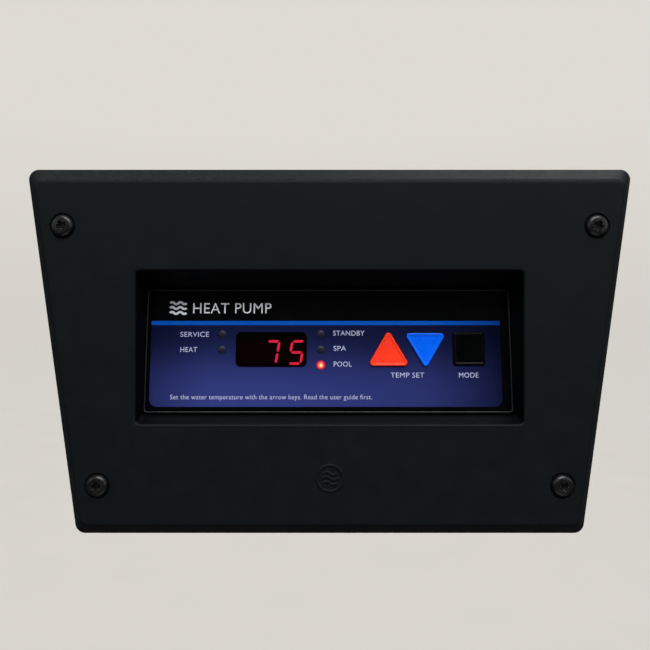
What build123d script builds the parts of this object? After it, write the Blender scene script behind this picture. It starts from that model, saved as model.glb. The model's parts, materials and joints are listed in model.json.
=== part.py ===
"""Control panel of a pool and spa heat pump, in millimetres.

A moulded bezel screws over a cut-out in the cabinet. A display module is screwed to its back and
shows through the recess: printed overlay, three-digit display, five indicator lamps, three keys.
+X is right and +Z is up as a person faces the panel, and +Y goes into the cabinet. The origin is
the middle of the bezel's rear rim plane, which lies on the cabinet.
"""

from build123d import *

import math
import os

os.makedirs("parts", exist_ok=True)

# ---- Driving dimensions -------------------------------------------------------------------------

# bezel
top_width = 302.0
bottom_width = 253.0
panel_height = 181.6
panel_depth = 12.0
side_lean = 8.0  # how far each side leans in between the rim and the front face
rim_radius = 5.0
front_radius = 4.0
front_round = 2.6
bezel_wall = 3.0
rib_thickness = 1.6
rib_pitch = 27.0
rib_top = 3.0  # the ribs stop this far short of the rim plane, and the gasket lies on them
gasket_gap = 0.4  # from the bezel's wall
gasket_width = 5.0

# recess: its mouth, and its inner end round the display module
recess_width = 186.0
recess_bottom = -34.4
recess_top = 39.7
recess_radius = 2.0
recess_wall = 2.5
mouth_round = 1.2
face_tilt = 6.4  # degrees the label's face leans back at its top
face_y = 2.0
face_z = 0.25
face_middle = (-0.6, 0.1)  # of the inner end, on the label's face
face_width = 184.6
face_height = 62.8

# levels of the display module, measured outwards from the label's face
rim_level = 0.4
overlay_back = -0.5
recess_end = -1.5
flange_front = -2.3
plate_back = -4.3
board_front = -13.3
board_back = -14.9
tray_back = -25.0
cover_back = -27.0

# mounting screws: each place is (x, z)
mounting_places = [(-128.0, 60.7), (128.0, 60.7), (-111.5, -63.7), (111.5, -63.7)]
screw_head_radius = 5.5
screw_head_height = 3.0
shoulder_radius = 2.4
thread_radius = 2.1
thread_reach = 12.0
screw_tip_length = 2.5
screw_tip_radius = 0.4
mounting_hole_radius = 2.75
dimple_radius = 6.2
dimple_depth = 1.0

# display window, digits and lamps, as (x, y) on the label's face
window_centre = (-29.35, 0.55)
window_size = (35.9, 17.7)
window_radius = 2.8
digit_pitch = 12.7
digit_centre = (-29.6, -0.7)
digit_body = (12.6, 17.6)
digit_height = 12.6
digit_width = 7.4
segment_thickness = 1.3
segment_gap = 0.28
digit_slant = 10.0
point_radius = 0.7
lamp_radius = 2.15
lamp_proud = 0.35
lamp_columns = (-54.3, -4.4)
lamp_rows = (8.5, 0.65, -7.2)

# keys
key_proud = 0.9
key_travel = 0.8
key_clearance = 0.25
key_corner = 1.7
key_round = 0.55
key_flange_grow = 1.2
key_stem_radius = 2.2
triangle_width = 18.9
triangle_height = 16.6
up_key_middle = (29.65, 0.55)
down_key_middle = (48.2, 0.5)
mode_key_middle = (70.05, 0.9)
mode_key_size = (15.7, 16.4)
mode_key_corner = 1.0
stem_end = -8.2

# circuit board and its fixings, as (x, y) on the label's face
board_size = (170.0, 56.0)
board_post_x = 80.0
board_post_y = 23.0
board_post_radius = 3.0
tray_size = (188.0, 66.0)
tray_wall = 2.0
tray_corner = 4.0
corner_boss_x = 88.5
corner_boss_y = 27.5
corner_boss_radius = 3.4
flange_size = (208.0, 72.0)
frame_screw_x = 99.5
frame_screw_rows = (-24.0, 0.0, 24.0)
frame_boss_radius = 4.0
pilot_radius = 1.3
small_thread_radius = 1.25
small_screw_gap = 0.4  # round the small screws' threads in the parts they pass through

# ---- Planes and shared shapes -------------------------------------------------------------------

tilt = math.radians(face_tilt)
face_plane = Plane(
    origin=(0, face_y, face_z), x_dir=(1, 0, 0), z_dir=(0, -math.cos(tilt), math.sin(tilt))
)
touch = 0.01  # how far a selector looks either side of a level


def level(height):
    """The plane this far in front of the label's face, or behind it if negative."""
    return face_plane.offset(height)


def front(distance):
    """The upright plane this far in front of the rim plane, seen from the front."""
    return Plane.XZ.offset(distance)


def panel_outline(inset, radius):
    """The panel's tapered outline, moved in by inset on all four sides."""
    half_height = panel_height / 2
    with BuildSketch(mode=Mode.PRIVATE) as outline:
        with BuildLine():
            Polyline(
                (-top_width / 2, half_height),
                (top_width / 2, half_height),
                (bottom_width / 2, -half_height),
                (-bottom_width / 2, -half_height),
                close=True,
            )
        make_face()
        if inset:
            offset(amount=-inset, kind=Kind.INTERSECTION)
        fillet(outline.vertices(), radius)
    return outline.sketch


def key_triangle(grow, point_up):
    """A key's rounded triangle on its middle, with its sides moved out by grow."""
    half_height = triangle_height / 2 if point_up else -triangle_height / 2
    # the sharp corners stand outside the rounded outline, which is what has the stated size
    slant = math.atan2(triangle_height, triangle_width / 2)
    spare = key_corner / math.tan(slant / 2) - key_corner
    peak = key_corner / math.cos(slant) - key_corner
    tip = half_height + math.copysign(peak, half_height)
    with BuildSketch(mode=Mode.PRIVATE) as outline:
        with BuildLine():
            Polyline(
                (-triangle_width / 2 - spare, -half_height),
                (triangle_width / 2 + spare, -half_height),
                (0, tip),
                close=True,
            )
        make_face()
        fillet(outline.vertices(), key_corner)
        if grow:
            offset(amount=grow)
    return outline.sketch


def up_outline(grow):
    return key_triangle(grow, point_up=True)


def down_outline(grow):
    return key_triangle(grow, point_up=False)


def mode_outline(grow):
    with BuildSketch(mode=Mode.PRIVATE) as outline:
        RectangleRounded(mode_key_size[0], mode_key_size[1], mode_key_corner)
        if grow:
            offset(amount=grow)
    return outline.sketch


keys = {
    "up": (up_key_middle, up_outline),
    "down": (down_key_middle, down_outline),
    "mode": (mode_key_middle, mode_outline),
}

lamps = {
    "service": (lamp_columns[0], lamp_rows[0]),
    "heat": (lamp_columns[0], lamp_rows[1]),
    "standby": (lamp_columns[1], lamp_rows[0]),
    "spa": (lamp_columns[1], lamp_rows[1]),
    "pool": (lamp_columns[1], lamp_rows[2]),
}


def save(solid, name):
    solid.label = name
    export_step(solid, f"parts/{name}.step")


# ---- Bezel --------------------------------------------------------------------------------------

cavity_depth = panel_depth - bezel_wall
with BuildPart() as cavity:
    with BuildSketch(front(0)):
        add(panel_outline(bezel_wall, rim_radius - bezel_wall / 2))
    with BuildSketch(front(cavity_depth)):
        add(panel_outline(bezel_wall + side_lean * cavity_depth / panel_depth, front_radius))
    loft(ruled=True)

rib_columns = [(i + 0.5) * rib_pitch for i in range(-6, 6)]
rib_rows = [(i + 0.5) * rib_pitch for i in range(-3, 3)]
with BuildPart() as ribs:
    with BuildSketch(front(rib_top)):
        with Locations(*[(x, 0) for x in rib_columns]):
            Rectangle(rib_thickness, panel_height)
        with Locations(*[(0, z) for z in rib_rows]):
            Rectangle(top_width, rib_thickness)
    extrude(amount=cavity_depth - rib_top)
    add(cavity.part, mode=Mode.INTERSECT)

recess_height = recess_top - recess_bottom
recess_middle = (recess_top + recess_bottom) / 2
with BuildPart() as recess_outside:
    with BuildSketch(front(panel_depth - bezel_wall / 2)):
        with Locations((0, recess_middle)):
            RectangleRounded(
                recess_width + 2 * recess_wall,
                recess_height + 2 * recess_wall,
                recess_radius + recess_wall,
            )
    with BuildSketch(level(recess_end)):
        with Locations(face_middle):
            RectangleRounded(
                face_width + 2 * recess_wall,
                face_height + 2 * recess_wall,
                recess_radius + recess_wall,
            )
    loft(ruled=True)

with BuildPart() as recess_inside:
    with BuildSketch(front(panel_depth)):
        with Locations((0, recess_middle)):
            RectangleRounded(recess_width, recess_height, recess_radius)
    with BuildSketch(level(recess_end)):
        with Locations(face_middle):
            RectangleRounded(face_width, face_height, recess_radius)
    loft(ruled=True)

# a plain raised badge: a ring round three waves, of which the middle one is longer
emblem_z = -60.0
emblem_radius = 6.7
emblem_line = 0.9
emblem_relief = 0.4
wave_pitch = 2.3
wave_rise = 0.7
wave_reaches = (3.1, 3.9, 3.1)

frame_pilot_depth = 8.0


def boss_length(y):
    """From the flange's front to the middle of the bezel's front wall, along the face's normal."""
    back_y = face_y - flange_front * math.cos(tilt) + y * math.sin(tilt)
    return (back_y + panel_depth - bezel_wall / 2) / math.cos(tilt)


with BuildPart() as bezel:
    with BuildSketch(front(0)):
        add(panel_outline(0, rim_radius))
    with BuildSketch(front(panel_depth)):
        add(panel_outline(side_lean, front_radius))
    loft(ruled=True)
    fillet(bezel.edges().group_by(Axis.Y)[0], front_round)
    add(cavity.part, mode=Mode.SUBTRACT)
    add(ribs.part)
    add(recess_outside.part)
    # bosses for the mounting screws, which stand on the cabinet
    with BuildSketch(front(0)):
        with Locations(*mounting_places):
            Circle(dimple_radius)
    extrude(amount=panel_depth - bezel_wall / 2)
    # bosses for the display module's screws
    for y in frame_screw_rows:
        with BuildSketch(level(flange_front)):
            with Locations((-frame_screw_x, y), (frame_screw_x, y)):
                Circle(frame_boss_radius)
        extrude(amount=boss_length(y))
    with BuildSketch(level(flange_front)):
        with GridLocations(2 * frame_screw_x, frame_screw_rows[-1], 2, len(frame_screw_rows)):
            Circle(pilot_radius)
    extrude(amount=frame_pilot_depth, mode=Mode.SUBTRACT)
    add(recess_inside.part, mode=Mode.SUBTRACT)
    # mounting holes and the shallow seats of the screw heads
    with BuildSketch(front(0)):
        with Locations(*mounting_places):
            Circle(mounting_hole_radius)
    extrude(amount=panel_depth, mode=Mode.SUBTRACT)
    with BuildSketch(front(panel_depth - dimple_depth)):
        with Locations(*mounting_places):
            Circle(dimple_radius)
    extrude(amount=dimple_depth, mode=Mode.SUBTRACT)
    mouth = bezel.edges().filter_by(
        lambda e: abs(e.center().Y + panel_depth) < touch
        and abs(e.center().X) < recess_width / 2 + touch
        and recess_bottom - touch < e.center().Z < recess_top + touch
    )
    fillet(mouth, mouth_round)
    with BuildSketch(front(panel_depth)):
        with Locations((0, emblem_z)):
            Circle(emblem_radius)
            Circle(emblem_radius - emblem_line, mode=Mode.SUBTRACT)
    extrude(amount=emblem_relief)
    for row, reach in enumerate(wave_reaches, start=-1):
        wave_z = emblem_z + row * wave_pitch
        with BuildSketch(front(panel_depth)):
            with BuildLine():
                ThreePointArc((-reach, wave_z), (-reach / 2, wave_z + wave_rise), (0, wave_z))
                ThreePointArc((0, wave_z), (reach / 2, wave_z - wave_rise), (reach, wave_z))
            trace(line_width=emblem_line)
        extrude(amount=emblem_relief)
save(bezel.part, "bezel")

# ---- Gasket between the bezel and the cabinet ---------------------------------------------------

# the bezel's wall leans in, so the gasket's front edge sets its place
gasket_inset = bezel_wall + side_lean * rib_top / panel_depth + gasket_gap
with BuildPart() as cabinet_gasket:
    with BuildSketch(front(0)):
        add(panel_outline(gasket_inset, rim_radius))
        add(panel_outline(gasket_inset + gasket_width, rim_radius), mode=Mode.SUBTRACT)
    extrude(amount=rib_top)
save(cabinet_gasket.part, "cabinet_gasket")

# ---- Mounting screws ----------------------------------------------------------------------------

cross_turns = (20.0, 62.0, 8.0, 40.0)  # how far each head's cross recess is turned, in degrees
cross_length = 5.4
cross_width = 1.25
cross_centre_radius = 1.5
cross_depth = 1.9
head_round = 1.9
head_flat = screw_head_radius - head_round
slope = math.sqrt(0.5)
seat_depth = panel_depth - dimple_depth
tip = seat_depth + thread_reach
with BuildPart() as mounting_screws:
    for place, turn in zip(mounting_places, cross_turns):
        centre = front(seat_depth).from_local_coords((place[0], place[1], 0))
        axis_plane = Plane(origin=centre, x_dir=(1, 0, 0), z_dir=(0, -1, 0))
        # half of the screw's section, turned about its own axis
        with BuildSketch(Plane(origin=centre, x_dir=(1, 0, 0), z_dir=(0, 0, 1))):
            with BuildLine():
                Polyline((0, -screw_head_height), (head_flat, -screw_head_height))
                ThreePointArc(
                    (head_flat, -screw_head_height),
                    (head_flat + head_round * slope, (1 - slope) * head_round - screw_head_height),
                    (screw_head_radius, head_round - screw_head_height),
                )
                Polyline(
                    (screw_head_radius, head_round - screw_head_height),
                    (screw_head_radius, 0),
                    (shoulder_radius, 0),
                    (shoulder_radius, seat_depth),
                    (thread_radius, seat_depth),
                    (thread_radius, tip - screw_tip_length),
                    (screw_tip_radius, tip),
                    (0, tip),
                    (0, -screw_head_height),
                )
            make_face()
        revolve(axis=Axis(centre, (0, 1, 0)))
        # cross recess in the head
        with BuildSketch(axis_plane.offset(screw_head_height)):
            Rectangle(cross_length, cross_width, rotation=turn)
            Rectangle(cross_width, cross_length, rotation=turn)
            Circle(cross_centre_radius)
        extrude(amount=-cross_depth, mode=Mode.SUBTRACT)
save(mounting_screws.part, "mounting_screws")

# ---- Display frame: the tray that holds the display module --------------------------------------

plug_width = face_width - 0.6
plug_height = face_height - 0.6
plug_corner = 1.7
rim_width = 0.7
rim_round = 0.22
pocket_width = plug_width - 2 * rim_width
pocket_height = plug_height - 2 * rim_width
pocket_corner = plug_corner - rim_width
window_ledge = 0.5  # the frame's window is this much smaller all round, and holds the filter
filter_size = (window_size[0] + 1.8, window_size[1] + 1.8)
filter_corner = 1.4
filter_gap = 0.1
filter_thickness = 1.5
lamp_gap = 0.2
corner_pilot_depth = 9.0
post_pilot_depth = 7.0
with BuildPart() as display_frame:
    with BuildSketch(level(plate_back)):
        RectangleRounded(flange_size[0], flange_size[1], tray_corner)
    extrude(amount=flange_front - plate_back)
    with BuildSketch(level(flange_front)):
        with Locations(face_middle):
            RectangleRounded(plug_width, plug_height, plug_corner)
    extrude(amount=rim_level - flange_front)
    with BuildSketch(level(overlay_back)):
        with Locations(face_middle):
            RectangleRounded(pocket_width, pocket_height, pocket_corner)
    extrude(amount=rim_level - overlay_back, mode=Mode.SUBTRACT)
    rim_edges = display_frame.edges().filter_by(
        lambda e: abs(face_plane.to_local_coords(e.center()).Z - rim_level) < touch
    )
    fillet(rim_edges, rim_round)
    # tray walls behind the plate, corner bosses and board posts
    with BuildSketch(level(tray_back)):
        RectangleRounded(tray_size[0], tray_size[1], tray_corner)
        RectangleRounded(
            tray_size[0] - 2 * tray_wall,
            tray_size[1] - 2 * tray_wall,
            tray_corner - tray_wall,
            mode=Mode.SUBTRACT,
        )
        with GridLocations(2 * corner_boss_x, 2 * corner_boss_y, 2, 2):
            Circle(corner_boss_radius)
    extrude(amount=plate_back - tray_back)
    with BuildSketch(level(board_front)):
        with GridLocations(2 * board_post_x, 2 * board_post_y, 2, 2):
            Circle(board_post_radius)
    extrude(amount=plate_back - board_front)
    # window, with a pocket in front for its filter
    with BuildSketch(level(plate_back)):
        with Locations(window_centre):
            RectangleRounded(
                window_size[0] - 2 * window_ledge,
                window_size[1] - 2 * window_ledge,
                window_radius - window_ledge,
            )
        with Locations(*lamps.values()):
            Circle(lamp_radius + lamp_gap)
    extrude(amount=rim_level - plate_back, mode=Mode.SUBTRACT)
    with BuildSketch(level(overlay_back)):
        with Locations(window_centre):
            RectangleRounded(
                filter_size[0] + 2 * filter_gap,
                filter_size[1] + 2 * filter_gap,
                filter_corner + filter_gap,
            )
    extrude(amount=-filter_thickness, mode=Mode.SUBTRACT)
    # openings that the keys slide in
    for middle, outline in keys.values():
        with BuildSketch(level(plate_back)):
            with Locations(middle):
                add(outline(key_clearance))
        extrude(amount=rim_level - plate_back, mode=Mode.SUBTRACT)
    # screw holes: through the flange, and blind in the bosses and posts
    with BuildSketch(level(plate_back)):
        with GridLocations(2 * frame_screw_x, frame_screw_rows[-1], 2, len(frame_screw_rows)):
            Circle(small_thread_radius + small_screw_gap)
    extrude(amount=flange_front - plate_back, mode=Mode.SUBTRACT)
    with BuildSketch(level(tray_back)):
        with GridLocations(2 * corner_boss_x, 2 * corner_boss_y, 2, 2):
            Circle(pilot_radius)
    extrude(amount=corner_pilot_depth, mode=Mode.SUBTRACT)
    with BuildSketch(level(board_front)):
        with GridLocations(2 * board_post_x, 2 * board_post_y, 2, 2):
            Circle(pilot_radius)
    extrude(amount=post_pilot_depth, mode=Mode.SUBTRACT)
save(display_frame.part, "display_frame")

# ---- Seal between the display frame and the back of the recess ----------------------------------

seal_gap = 0.3  # between the seal and the frame that it goes round
with BuildPart() as frame_seal:
    with BuildSketch(level(flange_front)):
        with Locations(face_middle):
            RectangleRounded(
                face_width + 2 * recess_wall,
                face_height + 2 * recess_wall,
                recess_radius + recess_wall,
            )
            RectangleRounded(
                face_width + 2 * seal_gap,
                face_height + 2 * seal_gap,
                recess_radius + seal_gap,
                mode=Mode.SUBTRACT,
            )
    extrude(amount=recess_end - flange_front)
save(frame_seal.part, "frame_seal")

# ---- Printed overlay and the display's tinted filter --------------------------------------------

overlay_gap = 0.15  # between the label and the frame's rim
lamp_hole_gap = 0.1
with BuildPart() as graphic_overlay:
    with BuildSketch(level(overlay_back)):
        with Locations(face_middle):
            RectangleRounded(
                pocket_width - 2 * overlay_gap,
                pocket_height - 2 * overlay_gap,
                pocket_corner - overlay_gap,
            )
        with Locations(window_centre):
            RectangleRounded(window_size[0], window_size[1], window_radius, mode=Mode.SUBTRACT)
        with Locations(*lamps.values()):
            Circle(lamp_radius + lamp_hole_gap, mode=Mode.SUBTRACT)
        for middle, outline in keys.values():
            with Locations(middle):
                add(outline(key_clearance), mode=Mode.SUBTRACT)
    extrude(amount=-overlay_back)
save(graphic_overlay.part, "graphic_overlay")

with BuildPart() as display_filter:
    with BuildSketch(level(overlay_back)):
        with Locations(window_centre):
            RectangleRounded(filter_size[0], filter_size[1], filter_corner)
    extrude(amount=-filter_thickness)
save(display_filter.part, "display_filter")

# ---- Keys, each with its switch and the switch's plunger ----------------------------------------

key_flange_front = plate_back - 0.3  # the key rests this far behind the frame
key_flange_thickness = 1.2
switch_side = 12.0
switch_corner = 0.8
switch_top = -10.0
plunger_radius = 3.4
plunger_gap = 0.25
plunger_round = 0.4
plunger_end = -11.5
bore_end = plunger_end - key_travel - 0.3  # so a pressed plunger stays clear of the switch


def make_key(outline, middle):
    """Cap through the overlay and the frame, a flange that keeps it in, and a stem behind."""
    with BuildPart() as key:
        with BuildSketch(level(key_flange_front)):
            with Locations(middle):
                add(outline(0))
        extrude(amount=key_proud - key_flange_front)
        top_edges = key.faces().sort_by(Axis.Y)[0].edges()
        fillet(top_edges, key_round)
        with BuildSketch(level(key_flange_front)):
            with Locations(middle):
                add(outline(key_flange_grow))
        extrude(amount=-key_flange_thickness)
        with BuildSketch(level(stem_end)):
            with Locations(middle):
                Circle(key_stem_radius)
        extrude(amount=key_flange_front - key_flange_thickness - stem_end)
    return key.part


def make_switch(middle):
    """The fixed body of a push switch, with a blind bore for its plunger."""
    with BuildPart() as switch:
        with BuildSketch(level(board_front)):
            with Locations(middle):
                RectangleRounded(switch_side, switch_side, switch_corner)
        extrude(amount=switch_top - board_front)
        with BuildSketch(level(switch_top)):
            with Locations(middle):
                Circle(plunger_radius + plunger_gap)
        extrude(amount=bore_end - switch_top, mode=Mode.SUBTRACT)
    return switch.part


def make_plunger(middle):
    with BuildPart() as plunger:
        with BuildSketch(level(plunger_end)):
            with Locations(middle):
                Circle(plunger_radius)
        extrude(amount=stem_end - plunger_end)
        fillet(plunger.faces().sort_by(Axis.Y)[0].edges(), plunger_round)
    return plunger.part


for name, (middle, outline) in keys.items():
    save(make_key(outline, middle), f"{name}_key")
    save(make_switch(middle), f"{name}_switch")
    save(make_plunger(middle), f"{name}_plunger")

# ---- Seven-segment digits -----------------------------------------------------------------------

digit_front = plate_back - 0.5
segment_depth = 0.6
lean = math.tan(math.radians(digit_slant))


def leaned(points):
    """Points of an upright digit, leaned over to the right."""
    return [(x + y * lean, y) for x, y in points]


def bar_points(x, y, length, upright):
    """The six corners of one bar of the digit, with pointed ends."""
    half = length / 2
    side = segment_thickness / 2
    flat = [
        (-half, 0),
        (-half + side, side),
        (half - side, side),
        (half, 0),
        (half - side, -side),
        (-half + side, -side),
    ]
    if upright:
        return [(x + b, y + a) for a, b in flat]
    return [(x + a, y + b) for a, b in flat]


bar_x = (digit_width - segment_thickness) / 2
bar_y = (digit_height - segment_thickness) / 2
across = 2 * bar_x - segment_gap * 2
along = bar_y - segment_gap * 2
bars = {
    "a": (0, bar_y, across, False),
    "b": (bar_x, bar_y / 2, along, True),
    "c": (bar_x, -bar_y / 2, along, True),
    "d": (0, -bar_y, across, False),
    "e": (-bar_x, -bar_y / 2, along, True),
    "f": (-bar_x, bar_y / 2, along, True),
    "g": (0, 0, across, False),
}
point_place = (bar_x + 1.0, -bar_y + 0.1)  # below and beside the digit's last bar


def make_segments(centre, letters):
    """The named bars of one digit as separate solids; the letter p is its decimal point."""
    with BuildPart() as segments:
        with BuildSketch(level(digit_front - segment_depth)):
            with Locations(centre):
                for letter in letters:
                    if letter == "p":
                        with Locations(point_place):
                            Circle(point_radius)
                    else:
                        Polygon(*leaned(bar_points(*bars[letter])), align=None)
        extrude(amount=segment_depth)
    return segments.part


digit_places = {
    name: (digit_centre[0] + step * digit_pitch, digit_centre[1])
    for name, step in (("hundreds", -1), ("tens", 0), ("units", 1))
}
lit_bars = {"hundreds": "", "tens": "abc", "units": "acdfg"}

for name, centre in digit_places.items():
    with BuildPart() as digit:
        with BuildSketch(level(board_front)):
            with Locations(centre):
                Rectangle(*digit_body)
        extrude(amount=digit_front - board_front)
        add(make_segments(centre, "abcdefgp"), mode=Mode.SUBTRACT)
    save(digit.part, f"{name}_digit")
    dark = [letter for letter in "abcdefgp" if letter not in lit_bars[name]]
    save(make_segments(centre, dark), f"{name}_dark_bars")
    if lit_bars[name]:
        save(make_segments(centre, lit_bars[name]), f"{name}_lit_bars")

# ---- Indicator lamps and their spacers ----------------------------------------------------------

lamp_base = -8.0
lamp_foot_radius = lamp_radius + 0.4
lamp_foot_top = lamp_base + 1.0
lamp_shoulder = -0.4
spacer_radius = 3.1
dome_height = lamp_proud - lamp_shoulder
dome_radius = (lamp_radius**2 + dome_height**2) / (2 * dome_height)
dome_half_angle = math.asin(lamp_radius / dome_radius) / 2
for name, (x, y) in lamps.items():
    with BuildPart() as lamp:
        foot = face_plane.from_local_coords((x, y, 0))
        section = Plane(origin=foot, x_dir=(1, 0, 0), z_dir=(0, -math.sin(tilt), -math.cos(tilt)))
        with BuildSketch(section):
            with BuildLine():
                Polyline(
                    (0, lamp_proud),
                    (0, lamp_base),
                    (lamp_foot_radius, lamp_base),
                    (lamp_foot_radius, lamp_foot_top),
                    (lamp_radius, lamp_foot_top),
                    (lamp_radius, lamp_shoulder),
                )
                ThreePointArc(
                    (lamp_radius, lamp_shoulder),
                    (
                        dome_radius * math.sin(dome_half_angle),
                        lamp_proud - dome_radius * (1 - math.cos(dome_half_angle)),
                    ),
                    (0, lamp_proud),
                )
            make_face()
        revolve(axis=Axis(foot, face_plane.z_dir))
    save(lamp.part, f"{name}_lamp")

with BuildPart() as lamp_spacers:
    with BuildSketch(level(board_front)):
        with Locations(*lamps.values()):
            Circle(spacer_radius)
    extrude(amount=lamp_base - board_front)
save(lamp_spacers.part, "lamp_spacers")

# ---- Circuit board ------------------------------------------------------------------------------

board_corner = 1.5
with BuildPart() as circuit_board:
    with BuildSketch(level(board_back)):
        RectangleRounded(board_size[0], board_size[1], board_corner)
        with GridLocations(2 * board_post_x, 2 * board_post_y, 2, 2):
            Circle(small_thread_radius + small_screw_gap, mode=Mode.SUBTRACT)
    extrude(amount=board_front - board_back)
save(circuit_board.part, "circuit_board")

# ---- Parts on the back of the board: each place is (x, y) on the label's face -------------------


def stand_on_board(height, shape):
    """Solids of one outline that stand on the back of the board."""
    with BuildPart() as block:
        with BuildSketch(level(board_back - height)):
            add(shape)
        extrude(amount=height)
    return block.part


pin_pitch = 2.54
chip_height = 4.0
chip_standoff = 0.6
leg_height = 2.6
leg_width = 0.6
leg_thickness = 0.5


def chip(place, length, width):
    """A chip with its two rows of legs against its long sides."""
    legs = int(length / pin_pitch)
    with BuildPart() as body:
        with BuildSketch(level(board_back - chip_height)):
            with Locations(place):
                Rectangle(length, width)
        extrude(amount=chip_height - chip_standoff)
        with BuildSketch(level(board_back - leg_height)):
            with Locations(place):
                with GridLocations(pin_pitch, width + leg_thickness, legs, 2):
                    Rectangle(leg_width, leg_thickness)
        extrude(amount=leg_height)
    return body.part


save(chip((-20.0, -2.0), length=35.6, width=7.4), "microcontroller")
save(chip((-30.0, 16.0), length=22.9, width=6.6), "display_driver")

crystal_place = (4.0, -14.0)
crystal_size = (11.0, 4.6)
crystal_height = 3.6
with BuildSketch() as crystal_outline:
    with Locations(crystal_place):
        SlotOverall(*crystal_size)
save(stand_on_board(crystal_height, crystal_outline.sketch), "clock_crystal")

capacitor_places = [(62.0, 17.0), (73.0, 17.0), (10.0, 14.0)]
capacitor_radius = 4.0
capacitor_height = 8.5
with BuildSketch() as capacitor_outline:
    with Locations(*capacitor_places):
        Circle(capacitor_radius)
save(stand_on_board(capacitor_height, capacitor_outline.sketch), "capacitors")

buzzer_place = (-62.0, 8.0)
buzzer_radius = 6.0
buzzer_hole_radius = 1.0
buzzer_height = 7.5
with BuildSketch() as buzzer_outline:
    with Locations(buzzer_place):
        Circle(buzzer_radius)
        Circle(buzzer_hole_radius, mode=Mode.SUBTRACT)
save(stand_on_board(buzzer_height, buzzer_outline.sketch), "buzzer")

# the regulator's block, and its metal tab on the board beyond it
regulator_place = (40.0, 14.0)
regulator_size = (10.2, 9.0)
regulator_height = 4.5
tab_length = 6.0
tab_thickness = 1.3
tab_hole_radius = 1.8
tab_place = (
    regulator_place[0],
    regulator_place[1] + (regulator_size[1] + tab_length) / 2 - 1.0,  # 1 mm into the block
)
with BuildPart() as voltage_regulator:
    with BuildSketch(level(board_back - regulator_height)):
        with Locations(regulator_place):
            Rectangle(*regulator_size)
    extrude(amount=regulator_height)
    with BuildSketch(level(board_back - tab_thickness)):
        with Locations(tab_place):
            Rectangle(regulator_size[0], tab_length)
            Circle(tab_hole_radius, mode=Mode.SUBTRACT)
    extrude(amount=tab_thickness)
save(voltage_regulator.part, "voltage_regulator")

resistor_radius = 1.2
resistor_length = 6.5
resistor_pitch = 4.0
resistor_start = (-58.0, -20.0)
with BuildPart() as resistors:
    for i in range(8):
        start = level(board_back - resistor_radius).from_local_coords(
            (resistor_start[0] + resistor_pitch * i, resistor_start[1], 0)
        )
        with BuildSketch(Plane(origin=start, x_dir=(1, 0, 0), z_dir=face_plane.y_dir)):
            Circle(resistor_radius)
        extrude(amount=resistor_length)
save(resistors.part, "resistors")

# ---- Harness socket: the open header that the cabinet's wiring plugs into ------------------------

socket_place = (58.0, -8.0)
socket_size = (24.0, 9.6)
socket_wall = 1.2
socket_height = 11.5
socket_floor = 2.5
slot_width = 4.0
slot_depth = 5.0
pin_recess = 4.0  # the pins end this far inside the socket's mouth
pin_width = 0.64
with BuildPart() as harness_socket:
    with BuildSketch(level(board_back - socket_height)):
        with Locations(socket_place):
            Rectangle(*socket_size)
    extrude(amount=socket_height)
    with BuildSketch(level(board_back - socket_height)):
        with Locations(socket_place):
            Rectangle(socket_size[0] - 2 * socket_wall, socket_size[1] - 2 * socket_wall)
    extrude(amount=socket_height - socket_floor, mode=Mode.SUBTRACT)
    # keying slot in the upper wall
    with BuildSketch(level(board_back - socket_height)):
        with Locations((socket_place[0], socket_place[1] + (socket_size[1] - socket_wall) / 2)):
            Rectangle(slot_width, socket_wall)
    extrude(amount=slot_depth, mode=Mode.SUBTRACT)
save(harness_socket.part, "harness_socket")

with BuildPart() as socket_pins:
    with BuildSketch(level(board_back - socket_height + pin_recess)):
        with Locations(socket_place):
            with GridLocations(pin_pitch, pin_pitch, 7, 2):
                Rectangle(pin_width, pin_width)
    extrude(amount=socket_height - pin_recess - socket_floor)
save(socket_pins.part, "socket_pins")

# ---- Rear cover ---------------------------------------------------------------------------------

cover_chamfer = 0.6
lip_height = 1.6
lip_gap = 0.3  # between the lip and the tray's walls
lip_thickness = 1.5
lip_width = tray_size[0] - 2 * (tray_wall + lip_gap)
lip_length = tray_size[1] - 2 * (tray_wall + lip_gap)
lip_corner_cut = 10.0  # keeps the lip off the corner bosses
socket_hole_gap = 0.4
vent_middle = (-45.0, 12.0)
vent_pitch = 6.0
vent_count = 9
vent_length = 24.0
vent_width = 2.2
with BuildPart() as rear_cover:
    with BuildSketch(level(cover_back)):
        RectangleRounded(tray_size[0], tray_size[1], tray_corner)
    extrude(amount=tray_back - cover_back)
    chamfer(rear_cover.faces().sort_by(Axis.Y)[-1].edges(), cover_chamfer)
    # lip that drops inside the tray
    with BuildSketch(level(tray_back)):
        Rectangle(lip_width, lip_length)
        Rectangle(
            lip_width - 2 * lip_thickness, lip_length - 2 * lip_thickness, mode=Mode.SUBTRACT
        )
        with GridLocations(2 * corner_boss_x, 2 * corner_boss_y, 2, 2):
            Rectangle(lip_corner_cut, lip_corner_cut, mode=Mode.SUBTRACT)
    extrude(amount=lip_height)
    # openings for the harness socket, the cover's screws and air
    with BuildSketch(level(cover_back)):
        with Locations(socket_place):
            Rectangle(socket_size[0] + 2 * socket_hole_gap, socket_size[1] + 2 * socket_hole_gap)
        with GridLocations(2 * corner_boss_x, 2 * corner_boss_y, 2, 2):
            Circle(small_thread_radius + small_screw_gap)
        with Locations(vent_middle):
            with GridLocations(vent_pitch, 0, vent_count, 1):
                SlotOverall(vent_length, vent_width, rotation=90)
    extrude(amount=tray_back - cover_back, mode=Mode.SUBTRACT)
save(rear_cover.part, "rear_cover")

# ---- Small screws, all driven from behind -------------------------------------------------------


small_head_radius = 3.0
small_head_height = 2.2
small_head_round = 0.9
small_cross_length = 3.0
small_cross_width = 0.7
small_cross_depth = 1.2


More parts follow.
